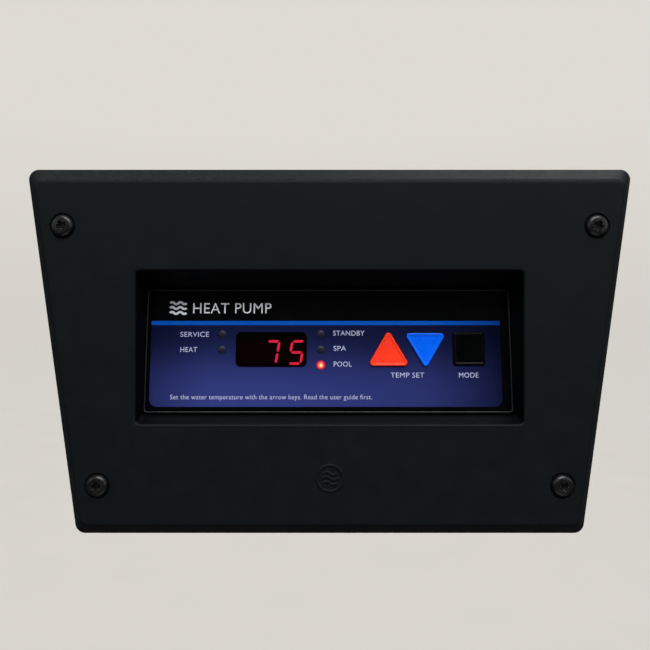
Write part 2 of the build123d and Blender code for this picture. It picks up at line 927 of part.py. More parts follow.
def small_screws(seat, places, reach):
    """Pan-head screws whose heads stand behind the seat level and whose shanks go forward."""
    with BuildPart() as screws:
        with BuildSketch(level(seat)):
            with Locations(*places):
                Circle(small_head_radius)
        extrude(amount=-small_head_height)
        rear_faces = screws.faces().filter_by(
            lambda f: abs(face_plane.to_local_coords(f.center()).Z - seat + small_head_height) < touch
        )
        fillet(rear_faces.edges(), small_head_round)
        with BuildSketch(level(seat)):
            with Locations(*places):
                Circle(small_thread_radius)
        extrude(amount=reach)
        with BuildSketch(level(seat - small_head_height)):
            with Locations(*places):
                Rectangle(small_cross_length, small_cross_width)
                Rectangle(small_cross_width, small_cross_length)
        extrude(amount=small_cross_depth, mode=Mode.SUBTRACT)
    return screws.part


def corners(x, y):
    return [(sx * x, sy * y) for sx in (-1, 1) for sy in (-1, 1)]


frame_screw_places = [(sx * frame_screw_x, y) for sx in (-1, 1) for y in frame_screw_rows]
board_screw_places = corners(board_post_x, board_post_y)
cover_screw_places = corners(corner_boss_x, corner_boss_y)
save(small_screws(plate_back, frame_screw_places, reach=8.5), "frame_screws")
save(small_screws(board_back, board_screw_places, reach=7.5), "board_screws")
save(small_screws(cover_back, cover_screw_places, reach=9.0), "cover_screws")
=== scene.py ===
"""Control panel of a pool heat pump: the finish of every piece, and pieces too fine for the CAD model."""

import json
import math

import bmesh
import bpy
from mathutils import Matrix, Vector

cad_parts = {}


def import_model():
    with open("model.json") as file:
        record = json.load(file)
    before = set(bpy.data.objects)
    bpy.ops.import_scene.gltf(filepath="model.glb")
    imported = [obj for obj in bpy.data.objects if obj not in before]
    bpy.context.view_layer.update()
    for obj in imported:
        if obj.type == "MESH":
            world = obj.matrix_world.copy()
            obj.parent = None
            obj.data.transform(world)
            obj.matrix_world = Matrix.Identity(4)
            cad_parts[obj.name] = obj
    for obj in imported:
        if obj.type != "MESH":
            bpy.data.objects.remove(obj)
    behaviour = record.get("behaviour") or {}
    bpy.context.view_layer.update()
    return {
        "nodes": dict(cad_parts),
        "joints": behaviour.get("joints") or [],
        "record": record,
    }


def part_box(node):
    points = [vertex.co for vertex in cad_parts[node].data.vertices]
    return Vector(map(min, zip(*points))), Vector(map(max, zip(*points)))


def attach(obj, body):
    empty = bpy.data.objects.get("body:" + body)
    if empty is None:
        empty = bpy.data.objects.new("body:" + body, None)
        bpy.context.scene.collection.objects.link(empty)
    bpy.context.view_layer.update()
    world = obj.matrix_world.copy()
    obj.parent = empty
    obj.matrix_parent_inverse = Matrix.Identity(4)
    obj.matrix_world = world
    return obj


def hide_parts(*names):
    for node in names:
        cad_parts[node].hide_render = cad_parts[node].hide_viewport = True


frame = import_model()
parts = frame["nodes"]
mm = 0.001

# ---- Bezel --------------------------------------------------------------------------------------
# The bezel is one injection moulding in black ABS. Its tool was spark-eroded, which leaves a fine
# matt grain on the outer faces, and polished round the recess, whose darker colour there is partly
# the polish and partly painted shade. Hands have rubbed the edges shinier.


def add(tree, kind, inputs=None, **settings):
    """A new shader node. Each input gets a plain value or another node's output."""
    node = tree.nodes.new("ShaderNode" + kind)
    for name, value in settings.items():
        setattr(node, name, value)
    for name, value in (inputs or {}).items():
        if isinstance(value, bpy.types.NodeSocket):
            tree.links.new(value, node.inputs[name])
        else:
            node.inputs[name].default_value = value
    return node


def calc(tree, operation, *terms):
    """The result of a Math node on numbers and sockets."""
    return add(tree, "Math", dict(enumerate(terms)), operation=operation).outputs[0]


def ramp(tree, value, low, high, start=0.0, end=1.0, **settings):
    """value carried from low..high to start..end, and held there outside."""
    given = {"Value": value, "From Min": low, "From Max": high, "To Min": start, "To Max": end}
    return add(tree, "MapRange", given, **settings).outputs[0]


def mix(tree, share, first, second, blend_type="MIX"):
    """The first colour with the second laid over it by share."""
    given = {0: share, 6: first, 7: second}
    return add(tree, "Mix", given, data_type="RGBA", blend_type=blend_type).outputs[2]


def noise(tree, spot, size, detail=2.0, roughness=0.6):
    """Soft noise from 0 to 1 whose blots are about size across, in metres."""
    scale = calc(tree, "DIVIDE", 1.0, size)
    given = {"Vector": spot, "Scale": scale, "Detail": detail, "Roughness": roughness}
    return add(tree, "TexNoise", given).outputs[0]


def new_group(name, takes, gives):
    """A node group with these sockets: its tree, the values given to it and its results."""
    tree = bpy.data.node_groups.new(name, "ShaderNodeTree")
    for in_out, sockets in (("INPUT", takes), ("OUTPUT", gives)):
        for socket, kind in sockets.items():
            tree.interface.new_socket(name=socket, in_out=in_out, socket_type="NodeSocket" + kind)
    given = tree.nodes.new("NodeGroupInput").outputs
    results = tree.nodes.new("NodeGroupOutput").inputs
    return tree, given, results


# eroded mould grain: fine pits, with patches of tone and sheen ten times their size
mould_grain, given, results = new_group(
    "mould grain",
    {
        "Position": "Vector",
        "Colour": "Color",
        "Pit Size": "Float",
        "Tone Change": "Float",
        "Roughness": "Float",
        "Sheen Change": "Float",
    },
    {"Colour": "Color", "Roughness": "Float", "Height": "Float"},
)
pits = noise(mould_grain, given["Position"], given["Pit Size"], detail=3.0)
patch_size = calc(mould_grain, "MULTIPLY", given["Pit Size"], 22.0)
patches = noise(mould_grain, given["Position"], patch_size, detail=4.0)
swing = calc(mould_grain, "SUBTRACT", patches, 0.5)
tone = calc(mould_grain, "MULTIPLY_ADD", swing, given["Tone Change"], 1.0)
grey = add(mould_grain, "CombineColor", {"Red": tone, "Green": tone, "Blue": tone}).outputs[0]
shaded = mix(mould_grain, 1.0, given["Colour"], grey, blend_type="MULTIPLY")
mould_grain.links.new(shaded, results["Colour"])
sheen = calc(mould_grain, "MULTIPLY_ADD", swing, given["Sheen Change"], given["Roughness"])
mould_grain.links.new(sheen, results["Roughness"])
mould_grain.links.new(pits, results["Height"])

# rounded normals at sharp edges, and a mask of where those edges are rubbed
soft_edges, given, results = new_group(
    "soft edges",
    {"Position": "Vector", "Radius": "Float", "Rub": "Float"},
    {"Normal": "Vector", "Rubbed": "Float"},
)
rounded = add(soft_edges, "Bevel", {"Radius": given["Radius"]}, samples=6).outputs[0]
facing = add(soft_edges, "NewGeometry").outputs["Normal"]
same = add(soft_edges, "VectorMath", {0: rounded, 1: facing}, operation="DOT_PRODUCT")
turned = calc(soft_edges, "SUBTRACT", 1.0, same.outputs["Value"])
broken = ramp(soft_edges, noise(soft_edges, given["Position"], 4 * mm, detail=5.0), 0.35, 0.7)
rubbed = calc(soft_edges, "MULTIPLY", ramp(soft_edges, turned, 0.02, 0.25), broken)
soft_edges.links.new(rounded, results["Normal"])
soft_edges.links.new(calc(soft_edges, "MULTIPLY", rubbed, given["Rub"]), results["Rubbed"])

# fine dust that settles on faces turned up
settled_dust, given, results = new_group(
    "settled dust", {"Position": "Vector", "Amount": "Float"}, {"Dust": "Float"}
)
up_share = add(settled_dust, "SeparateXYZ", {0: add(settled_dust, "NewGeometry").outputs["Normal"]})
level = ramp(settled_dust, up_share.outputs["Z"], 0.25, 1.0)
specks = ramp(settled_dust, noise(settled_dust, given["Position"], 1.2 * mm, detail=6.0), 0.42, 0.72)
dust = calc(settled_dust, "MULTIPLY", calc(settled_dust, "MULTIPLY", level, specks), given["Amount"])
settled_dust.links.new(dust, results["Dust"])
dust_colour = (0.36, 0.34, 0.31, 1)


def new_material(name, **plain):
    """A material: itself, its node tree, its Principled shader and the object's coordinates."""
    material = bpy.data.materials.new(name)
    material.use_nodes = True
    tree = material.node_tree
    shader = tree.nodes["Principled BSDF"]
    for socket, value in plain.items():
        shader.inputs[socket.replace("_", " ")].default_value = value
    return material, tree, shader, add(tree, "TexCoord").outputs["Object"]


def moulded(name, colour, roughness, pit, depth, edge=0.25 * mm, rub=0.5, dusty=0.0, **plain):
    """Moulded plastic with a grain of this pit size and depth, and edges rounded this much."""
    material, tree, shader, spot = new_material(name, **plain)
    grain = add(
        tree,
        "Group",
        {"Position": spot, "Colour": colour, "Pit Size": pit, "Roughness": roughness},
        node_tree=mould_grain,
    )
    grain.inputs["Tone Change"].default_value = 0.5
    grain.inputs["Sheen Change"].default_value = 0.25
    edges = add(tree, "Group", {"Position": spot, "Radius": edge, "Rub": rub}, node_tree=soft_edges)
    dust = add(tree, "Group", {"Position": spot, "Amount": dusty}, node_tree=settled_dust)
    rubbed_colour = mix(tree, edges.outputs["Rubbed"], grain.outputs["Colour"], (0.05, 0.05, 0.05, 1))
    dusted_colour = mix(tree, dust.outputs["Dust"], rubbed_colour, dust_colour)
    tree.links.new(dusted_colour, shader.inputs["Base Color"])
    tree.links.new(grain.outputs["Roughness"], shader.inputs["Roughness"])
    given = {"Distance": depth, "Height": grain.outputs["Height"], "Normal": edges.outputs["Normal"]}
    tree.links.new(add(tree, "Bump", given).outputs[0], shader.inputs["Normal"])
    return material


def before(shader, socket):
    """What feeds a shader's input."""
    return shader.inputs[socket].links[0].from_socket


def finish(material, *names):
    """Gives these CAD nodes this material."""
    for name in names:
        parts[name].material_slots[0].material = material


bezel_plastic = moulded(
    "bezel plastic",
    (0.0052, 0.0068, 0.0078, 1),
    0.58,
    0.45 * mm,
    0.05 * mm,
    edge=0.5 * mm,
    rub=0.3,
    dusty=0.05,
    Specular_IOR_Level=0.07,
)
tree = bezel_plastic.node_tree
shader = tree.nodes["Principled BSDF"]
# the polish and the painted shade cover this much either side of the recess's middle, from just under the
# front face
polish_half_width = 94 * mm
polish_half_height = 38.5 * mm
recess_middle = 2.6 * mm
face_plane = -12 * mm
sides = add(tree, "SeparateXYZ", {0: add(tree, "TexCoord").outputs["Object"]}).outputs
across = calc(tree, "COMPARE", sides["X"], 0.0, polish_half_width)
upright = calc(tree, "COMPARE", sides["Z"], recess_middle, polish_half_height)
sunk = ramp(tree, sides["Y"], face_plane + 0.1 * mm, face_plane + 0.7 * mm)
polish_and_shade = calc(tree, "MULTIPLY", calc(tree, "MULTIPLY", across, upright), sunk)
# painted shade: the recess gets a darker colour, partly for its polish and partly for the shade inside it
colour = mix(tree, polish_and_shade, before(shader, "Base Color"), (0.001, 0.0012, 0.0014, 1))
tree.links.new(colour, shader.inputs["Base Color"])
eroded = before(shader, "Roughness")
to_polished = calc(tree, "SUBTRACT", 0.5, eroded)
roughness = calc(tree, "MULTIPLY_ADD", polish_and_shade, to_polished, eroded)
tree.links.new(roughness, shader.inputs["Roughness"])
bump = before(shader, "Normal").node
tree.links.new(calc(tree, "MULTIPLY_ADD", polish_and_shade, -0.9, 1.0), bump.inputs["Strength"])
finish(bezel_plastic, "bezel")

# ---- Cabinet gasket and frame seal --------------------------------------------------------------
# Both seals are cut from closed-cell foam rubber sheet. The knife opens the cells, so the faces are
# covered in small round pores of uneven size.

foam, tree, shader, spot = new_material("gasket foam", Specular_IOR_Level=0.25)
cells = add(tree, "TexVoronoi", {"Vector": spot, "Scale": 1 / (0.7 * mm), "Randomness": 1.0})
pores = ramp(tree, cells.outputs["Distance"], 0.1, 0.5)
worn = noise(tree, spot, 8 * mm, detail=4.0)
foam_colour = mix(tree, pores, (0.004, 0.004, 0.005, 1), (0.03, 0.03, 0.032, 1))
pale_foam = mix(tree, ramp(tree, worn, 0.4, 0.8, 0.0, 0.3), foam_colour, (0.07, 0.07, 0.07, 1))
tree.links.new(pale_foam, shader.inputs["Base Color"])
tree.links.new(ramp(tree, worn, 0.3, 0.7, 0.8, 0.95), shader.inputs["Roughness"])
pitted = add(tree, "Bump", {"Distance": 0.25 * mm, "Height": pores}).outputs[0]
tree.links.new(pitted, shader.inputs["Normal"])
finish(foam, "cabinet_gasket", "frame_seal")

# ---- Mounting screws ----------------------------------------------------------------------------
# Four black-coated steel screws with pan heads and cross recesses hold the panel to the cabinet.
# The driver has rubbed the coat off the edges of the recess.


def new_piece(name, bm, material, body, smooth_under=35.0):
    """A finished piece from bm, smooth except over edges sharper than the angle in degrees."""
    mesh = bpy.data.meshes.new(name)
    bm.to_mesh(mesh)
    bm.free()
    mesh.materials.append(material)
    mesh.shade_smooth()
    mesh.set_sharp_from_angle(angle=math.radians(smooth_under))
    piece = bpy.data.objects.new(name, mesh)
    bpy.context.scene.collection.objects.link(piece)
    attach(piece, body)
    return piece


def spin_outline(bm, outline, steps):
    """A full turn about Z of an outline of (radius, height) points that starts and ends on Z."""
    verts = [bm.verts.new((radius, 0, height)) for radius, height in outline]
    edges = [bm.edges.new(pair) for pair in zip(verts, verts[1:])]
    bmesh.ops.spin(
        bm,
        geom=verts + edges,
        cent=(0, 0, 0),
        axis=(0, 0, 1),
        angle=math.tau,
        steps=steps,
        use_merge=True,
    )
    bmesh.ops.remove_doubles(bm, verts=bm.verts[:], dist=0.001 * mm)
    bmesh.ops.recalc_face_normals(bm, faces=bm.faces[:])


def wind_thread(bm, core, crest, pitch, start, turns):
    """Adds a helical ridge round a core, from height start downwards."""
    steps = 24
    root = core - 0.1 * mm
    ridge = bmesh.new()
    profile = [(root, 0.42 * pitch), (crest, 0.0), (root, -0.42 * pitch)]
    verts = [ridge.verts.new((radius, 0, start + height)) for radius, height in profile]
    edges = [ridge.edges.new((verts[i - 1], verts[i])) for i in range(3)]
    made = bmesh.ops.spin(
        ridge,
        geom=verts + edges,
        cent=(0, 0, 0),
        axis=(0, 0, 1),
        dvec=(0, 0, -pitch / steps),
        angle=math.tau * turns,
        steps=steps * turns,
    )
    last_edges = [item for item in made["geom_last"] if isinstance(item, bmesh.types.BMEdge)]
    bmesh.ops.holes_fill(ridge, edges=edges + last_edges, sides=3)
    bmesh.ops.recalc_face_normals(ridge, faces=ridge.faces[:])
    join(bm, ridge)


def join(bm, other):
    """Moves the shape of other into bm."""
    spare = bpy.data.meshes.new("spare")
    other.to_mesh(spare)
    other.free()
    bm.from_mesh(spare)
    bpy.data.meshes.remove(spare)


def cut_away(bm, cutter):
    """A new bmesh of bm with cutter's shape taken out of it."""
    solids = []
    for name, shape in (("blank", bm), ("cutter", cutter)):
        mesh = bpy.data.meshes.new(name)
        shape.to_mesh(mesh)
        shape.free()
        solids.append(bpy.data.objects.new(name, mesh))
        bpy.context.scene.collection.objects.link(solids[-1])
    difference = solids[0].modifiers.new("cut", "BOOLEAN")
    difference.operation = "DIFFERENCE"
    difference.solver = "EXACT"
    difference.object = solids[1]
    view = bpy.context.evaluated_depsgraph_get()
    result = bmesh.new()
    result.from_mesh(solids[0].evaluated_get(view).to_mesh())
    for solid in solids:
        bpy.data.objects.remove(solid)
    return result


screw_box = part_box("mounting_screws")
mounts = {mount["name"]: mount for mount in frame["record"]["mounts"]}
head_radius = 5.5 * mm
head_height = 3.0 * mm
head_edge = 0.4 * mm
head_steps = 10
shank_length = screw_box[1].y - screw_box[0].y - head_height
shoulder_length = -screw_box[0].y - head_height
shoulder_radius = 2.4 * mm
point_length = 2.4 * mm
thread_core = 1.65 * mm
thread_crest = 2.1 * mm
thread_pitch = 1.4 * mm
thread_turns = 6
recess_reach = 2.9 * mm
recess_half_width = 1.25 * mm
recess_depth = 1.9 * mm

screw_outline = [(0.0, head_height), (0.3 * head_radius, head_height - 0.05 * mm)]
for i in range(head_steps + 1):
    angle = math.radians(90 * i / head_steps)
    radius = head_radius * (0.6 + 0.4 * math.sin(angle))
    screw_outline.append((radius, head_edge + (head_height - 1.5 * head_edge) * math.cos(angle)))
screw_outline += [
    (head_radius, 0.0),
    (shoulder_radius, 0.0),
    (shoulder_radius, 0.5 * mm - shoulder_length),
    (thread_core, -shoulder_length),
    (thread_core, point_length - shank_length),
    (0.0, -shank_length),
]

black_coat, tree, shader, spot = new_material("black screw coat", Metallic=0.3)
coat_noise = noise(tree, spot, 1.5 * mm, detail=5.0)
edges = add(
    tree, "Group", {"Position": spot, "Radius": 0.18 * mm, "Rub": 0.55}, node_tree=soft_edges
)
coat_colour = mix(tree, coat_noise, (0.002, 0.002, 0.0024, 1), (0.009, 0.009, 0.01, 1))
steel_shown = mix(tree, edges.outputs["Rubbed"], coat_colour, (0.42, 0.41, 0.4, 1))
tree.links.new(steel_shown, shader.inputs["Base Color"])
tree.links.new(ramp(tree, coat_noise, 0.3, 0.7, 0.28, 0.46), shader.inputs["Roughness"])
given = {"Distance": 0.03 * mm, "Height": coat_noise, "Normal": edges.outputs["Normal"]}
tree.links.new(add(tree, "Bump", given).outputs[0], shader.inputs["Normal"])

all_screws = bmesh.new()
for row, driver_turns in (("top_screws", (20, 62)), ("bottom_screws", (8, 40))):
    middle = Vector(mounts[row]["pos_m"])
    reach = mounts[row]["dims"]["spacing_x_mm"] * mm / 2
    for side, driver_turn in zip((-1, 1), driver_turns):
        screw = bmesh.new()
        spin_outline(screw, screw_outline, steps=48)
        for blade_turn in (0, 90):
            blade = bmesh.new()
            bmesh.ops.create_cube(blade, size=1.0)
            for vert in blade.verts:
                taper = 1.0 if vert.co.z > 0 else 0.45
                vert.co.x *= 2 * recess_reach * taper
                vert.co.y *= 2 * recess_half_width * (1 + taper) / 2
                vert.co.z = head_height + (0.5 * mm if vert.co.z > 0 else -recess_depth)
            blade.transform(Matrix.Rotation(math.radians(driver_turn + blade_turn), 4, "Z"))
            screw = cut_away(screw, blade)
        thread_start = -shoulder_length - thread_pitch
        wind_thread(screw, thread_core, thread_crest, thread_pitch, thread_start, thread_turns)
        # the screw's Z points out of the cabinet, which is the model's -Y
        seat = Vector((side * reach, screw_box[0].y + head_height, middle.z))
        screw.transform(Matrix.Translation(seat) @ Matrix.Rotation(math.radians(90), 4, "X"))
        join(all_screws, screw)
panel_screws = new_piece("panel_screws", all_screws, black_coat, "panel", 30.0)
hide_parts("mounting_screws")

# ---- Display frame and its screws ---------------------------------------------------------------
# The frame is a satin black moulding that holds the label, the keys and the board. Six zinc-plated
# screws fix its flange behind the bezel.

frame_black = (0.009, 0.01, 0.0115, 1)
frame_plastic = moulded(
    "frame plastic", frame_black, 0.34, 0.25 * mm, 0.012 * mm, edge=0.12 * mm, rub=0.6
)
finish(frame_plastic, "display_frame")

zinc, tree, shader, spot = new_material("zinc plate", Metallic=1.0)
bloom = noise(tree, spot, 1.4 * mm, detail=6.0)
zinc_colour = mix(tree, bloom, (0.46, 0.45, 0.41, 1), (0.68, 0.67, 0.62, 1))
edges = add(tree, "Group", {"Position": spot, "Radius": 0.15 * mm, "Rub": 0.6}, node_tree=soft_edges)
zinc_rubbed = mix(tree, edges.outputs["Rubbed"], zinc_colour, (0.85, 0.84, 0.8, 1))
tree.links.new(zinc_rubbed, shader.inputs["Base Color"])
tree.links.new(ramp(tree, bloom, 0.3, 0.7, 0.24, 0.42), shader.inputs["Roughness"])
given = {"Distance": 0.02 * mm, "Height": bloom, "Normal": edges.outputs["Normal"]}
tree.links.new(add(tree, "Bump", given).outputs[0], shader.inputs["Normal"])
finish(zinc, "frame_screws", "board_screws", "cover_screws")

# ---- Label film ---------------------------------------------------------------------------------
# The label is polycarbonate film printed on its back: a black border and header, a bright blue
# stripe and a blue field. The field is darker towards its top, its left edge and its right, and the
# stripe towards its right: partly print and partly painted shade of the recess walls, with a painted
# reflection that makes the field lighter low down. Glue on its back holds it to the frame, and its
# face is velvety.

press = Vector(frame["joints"][0]["axis"])
out = -press
right = Vector((1, 0, 0))
up = out.cross(right)
film_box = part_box("graphic_overlay")
film_thickness = 0.5 * mm
film_middle = (film_box[0] + film_box[1]) / 2 + out * film_thickness / 2
board_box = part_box("circuit_board")
board_middle = (board_box[0] + board_box[1]) / 2
# the label's own axes: x to the right, y up and z out of its face, from over the board's middle
label_start = board_middle + out * (film_middle - board_middle).dot(out)
label = Matrix.Translation(label_start) @ Matrix((right, up, out)).transposed().to_4x4()


def on_label(tree, spot, middle=(0.0, 0.0)):
    """spot in the label's axes, from a point of its face."""
    back = (label @ Matrix.Translation((*middle, 0))).inverted()
    given = {
        "Vector": spot,
        "Location": back.to_translation(),
        "Rotation": back.to_euler(),
    }
    return add(tree, "Mapping", given).outputs[0]


# the inside of a rectangle with rounded corners, as 1 with an edge this soft
printed_area, given, results = new_group(
    "printed area",
    {
        "Position": "Vector",
        "Middle": "Vector",
        "Half Size": "Vector",
        "Corner": "Float",
        "Soft": "Float",
    },
    {"Inside": "Float"},
)
moved = add(
    printed_area, "VectorMath", {0: given["Position"], 1: given["Middle"]}, operation="SUBTRACT"
)
folded = add(printed_area, "VectorMath", {0: moved.outputs[0]}, operation="ABSOLUTE")
past = add(
    printed_area, "VectorMath", {0: folded.outputs[0], 1: given["Half Size"]}, operation="SUBTRACT"
)
past_sides = add(printed_area, "SeparateXYZ", {0: past.outputs[0]})
past_x = calc(printed_area, "ADD", past_sides.outputs["X"], given["Corner"])
past_y = calc(printed_area, "ADD", past_sides.outputs["Y"], given["Corner"])
outside_x = calc(printed_area, "POWER", calc(printed_area, "MAXIMUM", past_x, 0.0), 2.0)
outside_y = calc(printed_area, "POWER", calc(printed_area, "MAXIMUM", past_y, 0.0), 2.0)
outside = calc(printed_area, "SQRT", calc(printed_area, "ADD", outside_x, outside_y))
within = calc(printed_area, "MINIMUM", calc(printed_area, "MAXIMUM", past_x, past_y), 0.0)
distance = calc(printed_area, "SUBTRACT", calc(printed_area, "ADD", outside, within), given["Corner"])
share = calc(printed_area, "DIVIDE", distance, given["Soft"])
printed_area.links.new(ramp(printed_area, share, 0.5, -0.5), results["Inside"])

field_left = -90.1 * mm
field_right = 86.2 * mm
field_bottom = -28.0 * mm
stripe_bottom = 12.9 * mm
stripe_top = 15.0 * mm
header_top = 31.0 * mm
field_corner = 4.0 * mm
ink_soft = 0.12 * mm

film, tree, shader, spot = new_material("label film", Specular_IOR_Level=0.35)
face = on_label(tree, spot)


def area(tree, face, left, right, bottom, top, corner):
    """The mask of a printed rectangle on the label's face."""
    given = {
        "Position": face,
        "Middle": ((left + right) / 2, (bottom + top) / 2, 0),
        "Half Size": ((right - left) / 2, (top - bottom) / 2, 1),
        "Corner": corner,
        "Soft": ink_soft,
    }
    return add(tree, "Group", given, node_tree=printed_area).outputs[0]


# the field runs on under the stripe, so that its upper corners are square
field = area(tree, face, field_left, field_right, field_bottom, stripe_top, field_corner)
stripe = area(tree, face, field_left, field_right, stripe_bottom, stripe_top, 0.0)
header = area(tree, face, field_left, field_right, stripe_bottom, header_top, 0.0)
sides = add(tree, "SeparateXYZ", {0: face}).outputs
# painted shade and painted reflection, partly print: darker at the top, left edge and right, lighter low
# down
height_print_shade_glare = ramp(tree, sides["Y"], 10 * mm, -24 * mm, 0.2, 1.0, interpolation_type="SMOOTHSTEP")
left_print_shade = ramp(tree, sides["X"], -98 * mm, -60 * mm, 0.42, 1.0)
right_print_shade = ramp(tree, sides["X"], 50 * mm, 92 * mm, 1.0, 0.12)
rightward_print_shade = ramp(tree, sides["X"], -30 * mm, 60 * mm, 1.0, 0.66)
print_and_painted_shade = calc(tree, "MULTIPLY", height_print_shade_glare, calc(tree, "MULTIPLY", left_print_shade, right_print_shade))
print_and_painted_shade = calc(tree, "MULTIPLY", print_and_painted_shade, rightward_print_shade)
screen_dots = noise(tree, face, 0.35 * mm, detail=1.0)
dotted_print_shade = calc(tree, "MULTIPLY", print_and_painted_shade, ramp(tree, screen_dots, 0.2, 0.8, 0.8, 1.2))
field_colour = mix(tree, dotted_print_shade, (0.0002, 0.0005, 0.007, 1), (0.03, 0.041, 0.19, 1))
border_black = (0.0006, 0.0008, 0.0011, 1)
field_shown = mix(tree, field, border_black, field_colour)
header_shown = mix(tree, header, field_shown, border_black)
stripe_colour = mix(tree, right_print_shade, (0.0015, 0.03, 0.22, 1), (0.0028, 0.09, 0.51, 1))
label_colour = mix(tree, stripe, header_shown, stripe_colour)
tree.links.new(label_colour, shader.inputs["Base Color"])
film_haze = noise(tree, face, 9 * mm, detail=4.0)
tree.links.new(ramp(tree, film_haze, 0.3, 0.7, 0.15, 0.23), shader.inputs["Roughness"])
velvet = noise(tree, face, 0.12 * mm, detail=1.0)
given = {"Distance": 0.002 * mm, "Height": velvet}
tree.links.new(add(tree, "Bump", given).outputs[0], shader.inputs["Normal"])
finish(film, "graphic_overlay")

# ---- Lettering ----------------------------------------------------------------------------------
# The words and the header's water sign are printed in white ink, as a raised film a few hundredths
# of a millimetre thick. The small words are printed thinner, so that the blue shows through them.

ink_height = 0.03 * mm


def letter_mesh(words):
    """Upright solid letters on the XY plane, as Blender's own font draws them."""
    curve = bpy.data.curves.new("lettering", "FONT")
    curve.body = words
    curve.space_character = 1.06
    curve.extrude = 0.5
    curve.resolution_u = 4
    drawn = bpy.data.objects.new("lettering", curve)
    bm = bmesh.new()
    bm.from_mesh(bpy.data.meshes.new_from_object(drawn))
    bpy.data.objects.remove(drawn)
    bmesh.ops.remove_doubles(bm, verts=bm.verts[:], dist=0.0001)
    return bm


def reach(bm, axis):
    """The lowest and highest place of bm's vertices along an axis."""
    places = [vert.co[axis] for vert in bm.verts]
    return min(places), max(places)


def print_words(sheet, words, left, right, base, cap):
    """Adds words to the sheet from left to right, on the line base, with capitals this tall."""
    capital = letter_mesh("H")
    capital_foot, capital_top = reach(capital, 1)
    capital.free()
    letters = letter_mesh(words)
    word_left, word_right = reach(letters, 0)
    tall = cap / (capital_top - capital_foot)
    wide = (right - left) / (word_right - word_left)
    start = Matrix.Translation((-word_left, -capital_foot, 0.5))
    size = Matrix.Diagonal((wide, tall, ink_height, 1))
    letters.transform(label @ Matrix.Translation((left, base, 0)) @ size @ start)
    join(sheet, letters)


def ink(name, thin, thick):
    """Printed ink, whose colour shifts a little between thin and thick patches."""
    material, tree, shader, spot = new_material(name, Specular_IOR_Level=0.4)
    patches = noise(tree, spot, 0.5 * mm, detail=4.0)
    tree.links.new(mix(tree, patches, thin, thick), shader.inputs["Base Color"])
    tree.links.new(ramp(tree, patches, 0.3, 0.7, 0.3, 0.45), shader.inputs["Roughness"])
    return material


white_ink = ink("white ink", (0.7, 0.74, 0.82, 1), (0.88, 0.9, 0.95, 1))
fine_ink = ink("fine ink over blue", (0.34, 0.37, 0.58, 1), (0.52, 0.55, 0.76, 1))

small_cap = 2.45 * mm
notice_cap = 2.3 * mm
header_cap = 5.2 * mm
key_words_base = -13.5 * mm

lamp_words = bmesh.new()
for words, left, right_end, base in (
    ("SERVICE", -75.3, -60.9, 7.0),
    ("HEAT", -75.1, -66.7, -0.7),
    ("STANDBY", 1.8, 17.6, 7.6),
    ("SPA", 2.0, 8.3, -0.1),
    ("POOL", 2.1, 11.1, -8.0),
):
    print_words(lamp_words, words, left * mm, right_end * mm, base * mm, small_cap)
new_piece("lamp_legends", lamp_words, fine_ink, "panel")

key_words = bmesh.new()
for words, left, right_end in (("TEMP SET", 30.6, 47.4), ("MODE", 64.8, 74.6)):
    print_words(key_words, words, left * mm, right_end * mm, key_words_base, small_cap)
new_piece("key_legends", key_words, fine_ink, "panel")

notice = "Set the water temperature with the arrow keys. Read the user guide first."
notice_words = bmesh.new()
print_words(notice_words, notice, -79.6 * mm, 21.2 * mm, base=-24.3 * mm, cap=notice_cap)
new_piece("notice_line", notice_words, fine_ink, "panel")

header_words = bmesh.new()
print_words(header_words, "HEAT PUMP", -69.2 * mm, -29.5 * mm, base=18.9 * mm, cap=header_cap)
new_piece("header_words", header_words, white_ink, "panel")


def add_wave(sheet, left, height, width, arcs):
    """A ribbon of arcs over and under by turns, each of the same radius, that runs to the right."""
    radius = 1.35 * mm
    half_turn = math.radians(50)
    ribbon = bmesh.new()
    lift = radius * math.cos(half_turn)
    step = 2 * radius * math.sin(half_turn)
    ends = [radius - width / 2, radius + width / 2]
    start = [(-end * math.sin(half_turn), end * math.cos(half_turn) - lift, 0) for end in ends]
    line = [ribbon.verts.new(point) for point in start]
    geom = line + [ribbon.edges.new(line)]
    for i in range(arcs):
        over = 1 if i % 2 == 0 else -1
        made = bmesh.ops.spin(
            ribbon,
            geom=geom,
            cent=(i * step, -over * lift, 0),
            axis=(0, 0, -over),
            angle=2 * half_turn,
            steps=10,
        )
        geom = made["geom_last"]
    thick = bmesh.ops.extrude_face_region(ribbon, geom=ribbon.faces[:])
    top = [g for g in thick["geom"] if isinstance(g, bmesh.types.BMVert)]
    bmesh.ops.translate(ribbon, verts=top, vec=(0, 0, ink_height))
    bmesh.ops.recalc_face_normals(ribbon, faces=ribbon.faces[:])
    ribbon.transform(label @ Matrix.Translation((left, height, 0)))
    join(sheet, ribbon)


water_sign = bmesh.new()
for height in (19.1 * mm, 21.6 * mm, 24.1 * mm):
    add_wave(water_sign, -79.9 * mm, height, width=1.15 * mm, arcs=4)
new_piece("water_sign", water_sign, white_ink, "panel")

# ---- Display filter -----------------------------------------------------------------------------
# A pane of smoked acrylic lies in a pocket of the frame, behind the window in the label. It hides
# the unlit bars and lets the lit red ones through.

smoked, tree, shader, spot = new_material("smoked acrylic", Transmission_Weight=1.0, IOR=1.49)
smears = noise(tree, spot, 6 * mm, detail=4.0)
tint = mix(tree, smears, (0.30, 0.045, 0.05, 1), (0.34, 0.05, 0.056, 1))
tree.links.new(tint, shader.inputs["Base Color"])
tree.links.new(ramp(tree, smears, 0.4, 0.75, 0.02, 0.09), shader.inputs["Roughness"])
finish(smoked, "display_filter")

# ---- Keys ---------------------------------------------------------------------------------------
# Three moulded keycaps slide in openings of the frame. Each has a thin raised rim round a shallow
# dish for the fingertip, and the rim is where the light catches it.

cap_top_level = 0.9 * mm
rim_flat = 0.25 * mm
rim_slope = 0.45 * mm
dish_depth = 0.28 * mm
dish_sides = 0.8 * mm


